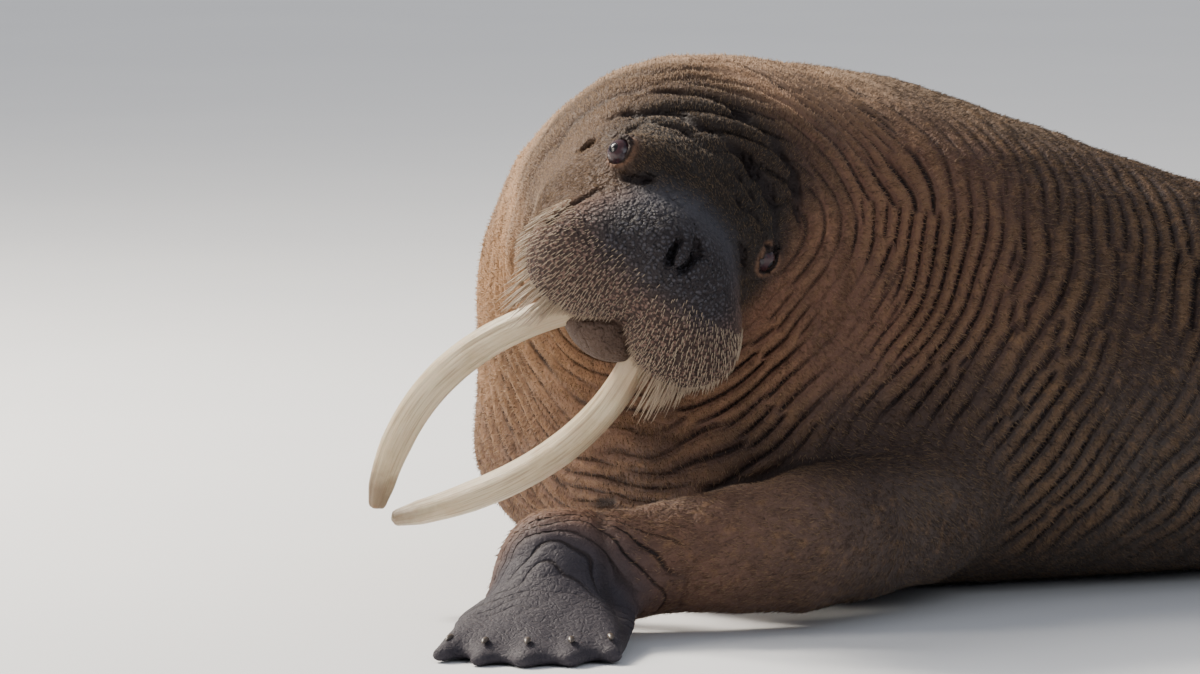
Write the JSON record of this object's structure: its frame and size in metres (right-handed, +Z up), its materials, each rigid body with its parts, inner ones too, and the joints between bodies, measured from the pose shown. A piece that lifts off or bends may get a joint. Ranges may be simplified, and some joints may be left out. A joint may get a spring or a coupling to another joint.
{
  "type": "walrus",
  "caption": "Life-size adult walrus cow resting on her belly, chest raised, head turned to her left and tilted, long tusks meeting at their tips.",
  "frame": {"origin": "middle of the flat of the belly that she rests on, on the floor", "axes": "+X towards the tail, -Y towards her left flank, +Z up"},
  "size_m": [2.7467, 1.3545, 0.6238],
  "materials": {
    "hide": "folded skin under short, coarse, golden to cinnamon fur",
    "muzzle_skin": "slate grey to pinkish, pitted where the whiskers grow",
    "flipper_skin": "bare, dark, creased across",
    "ivory": "worn ivory with long shallow grooves, brown at the tips",
    "eye": "wet and glossy"
  },
  "bodies": {
    "root": {"chest": "hide", "abdomen": "hide", "loin": "hide", "hindquarters": "hide", "neck": "hide", "head": "hide", "tail": "hide", "forearm_left": "hide", "forearm_right": "hide", "ankle_left": "hide", "ankle_right": "hide", "muzzle": "muzzle_skin", "jaw": "muzzle_skin", "fore_flipper_left": "flipper_skin", "fore_flipper_right": "flipper_skin", "hind_flipper_left": "flipper_skin", "hind_flipper_right": "flipper_skin", "tusk_left": "ivory", "tusk_right": "ivory", "eye_left": "eye", "eye_right": "eye"}
  },
  "joints": []
}
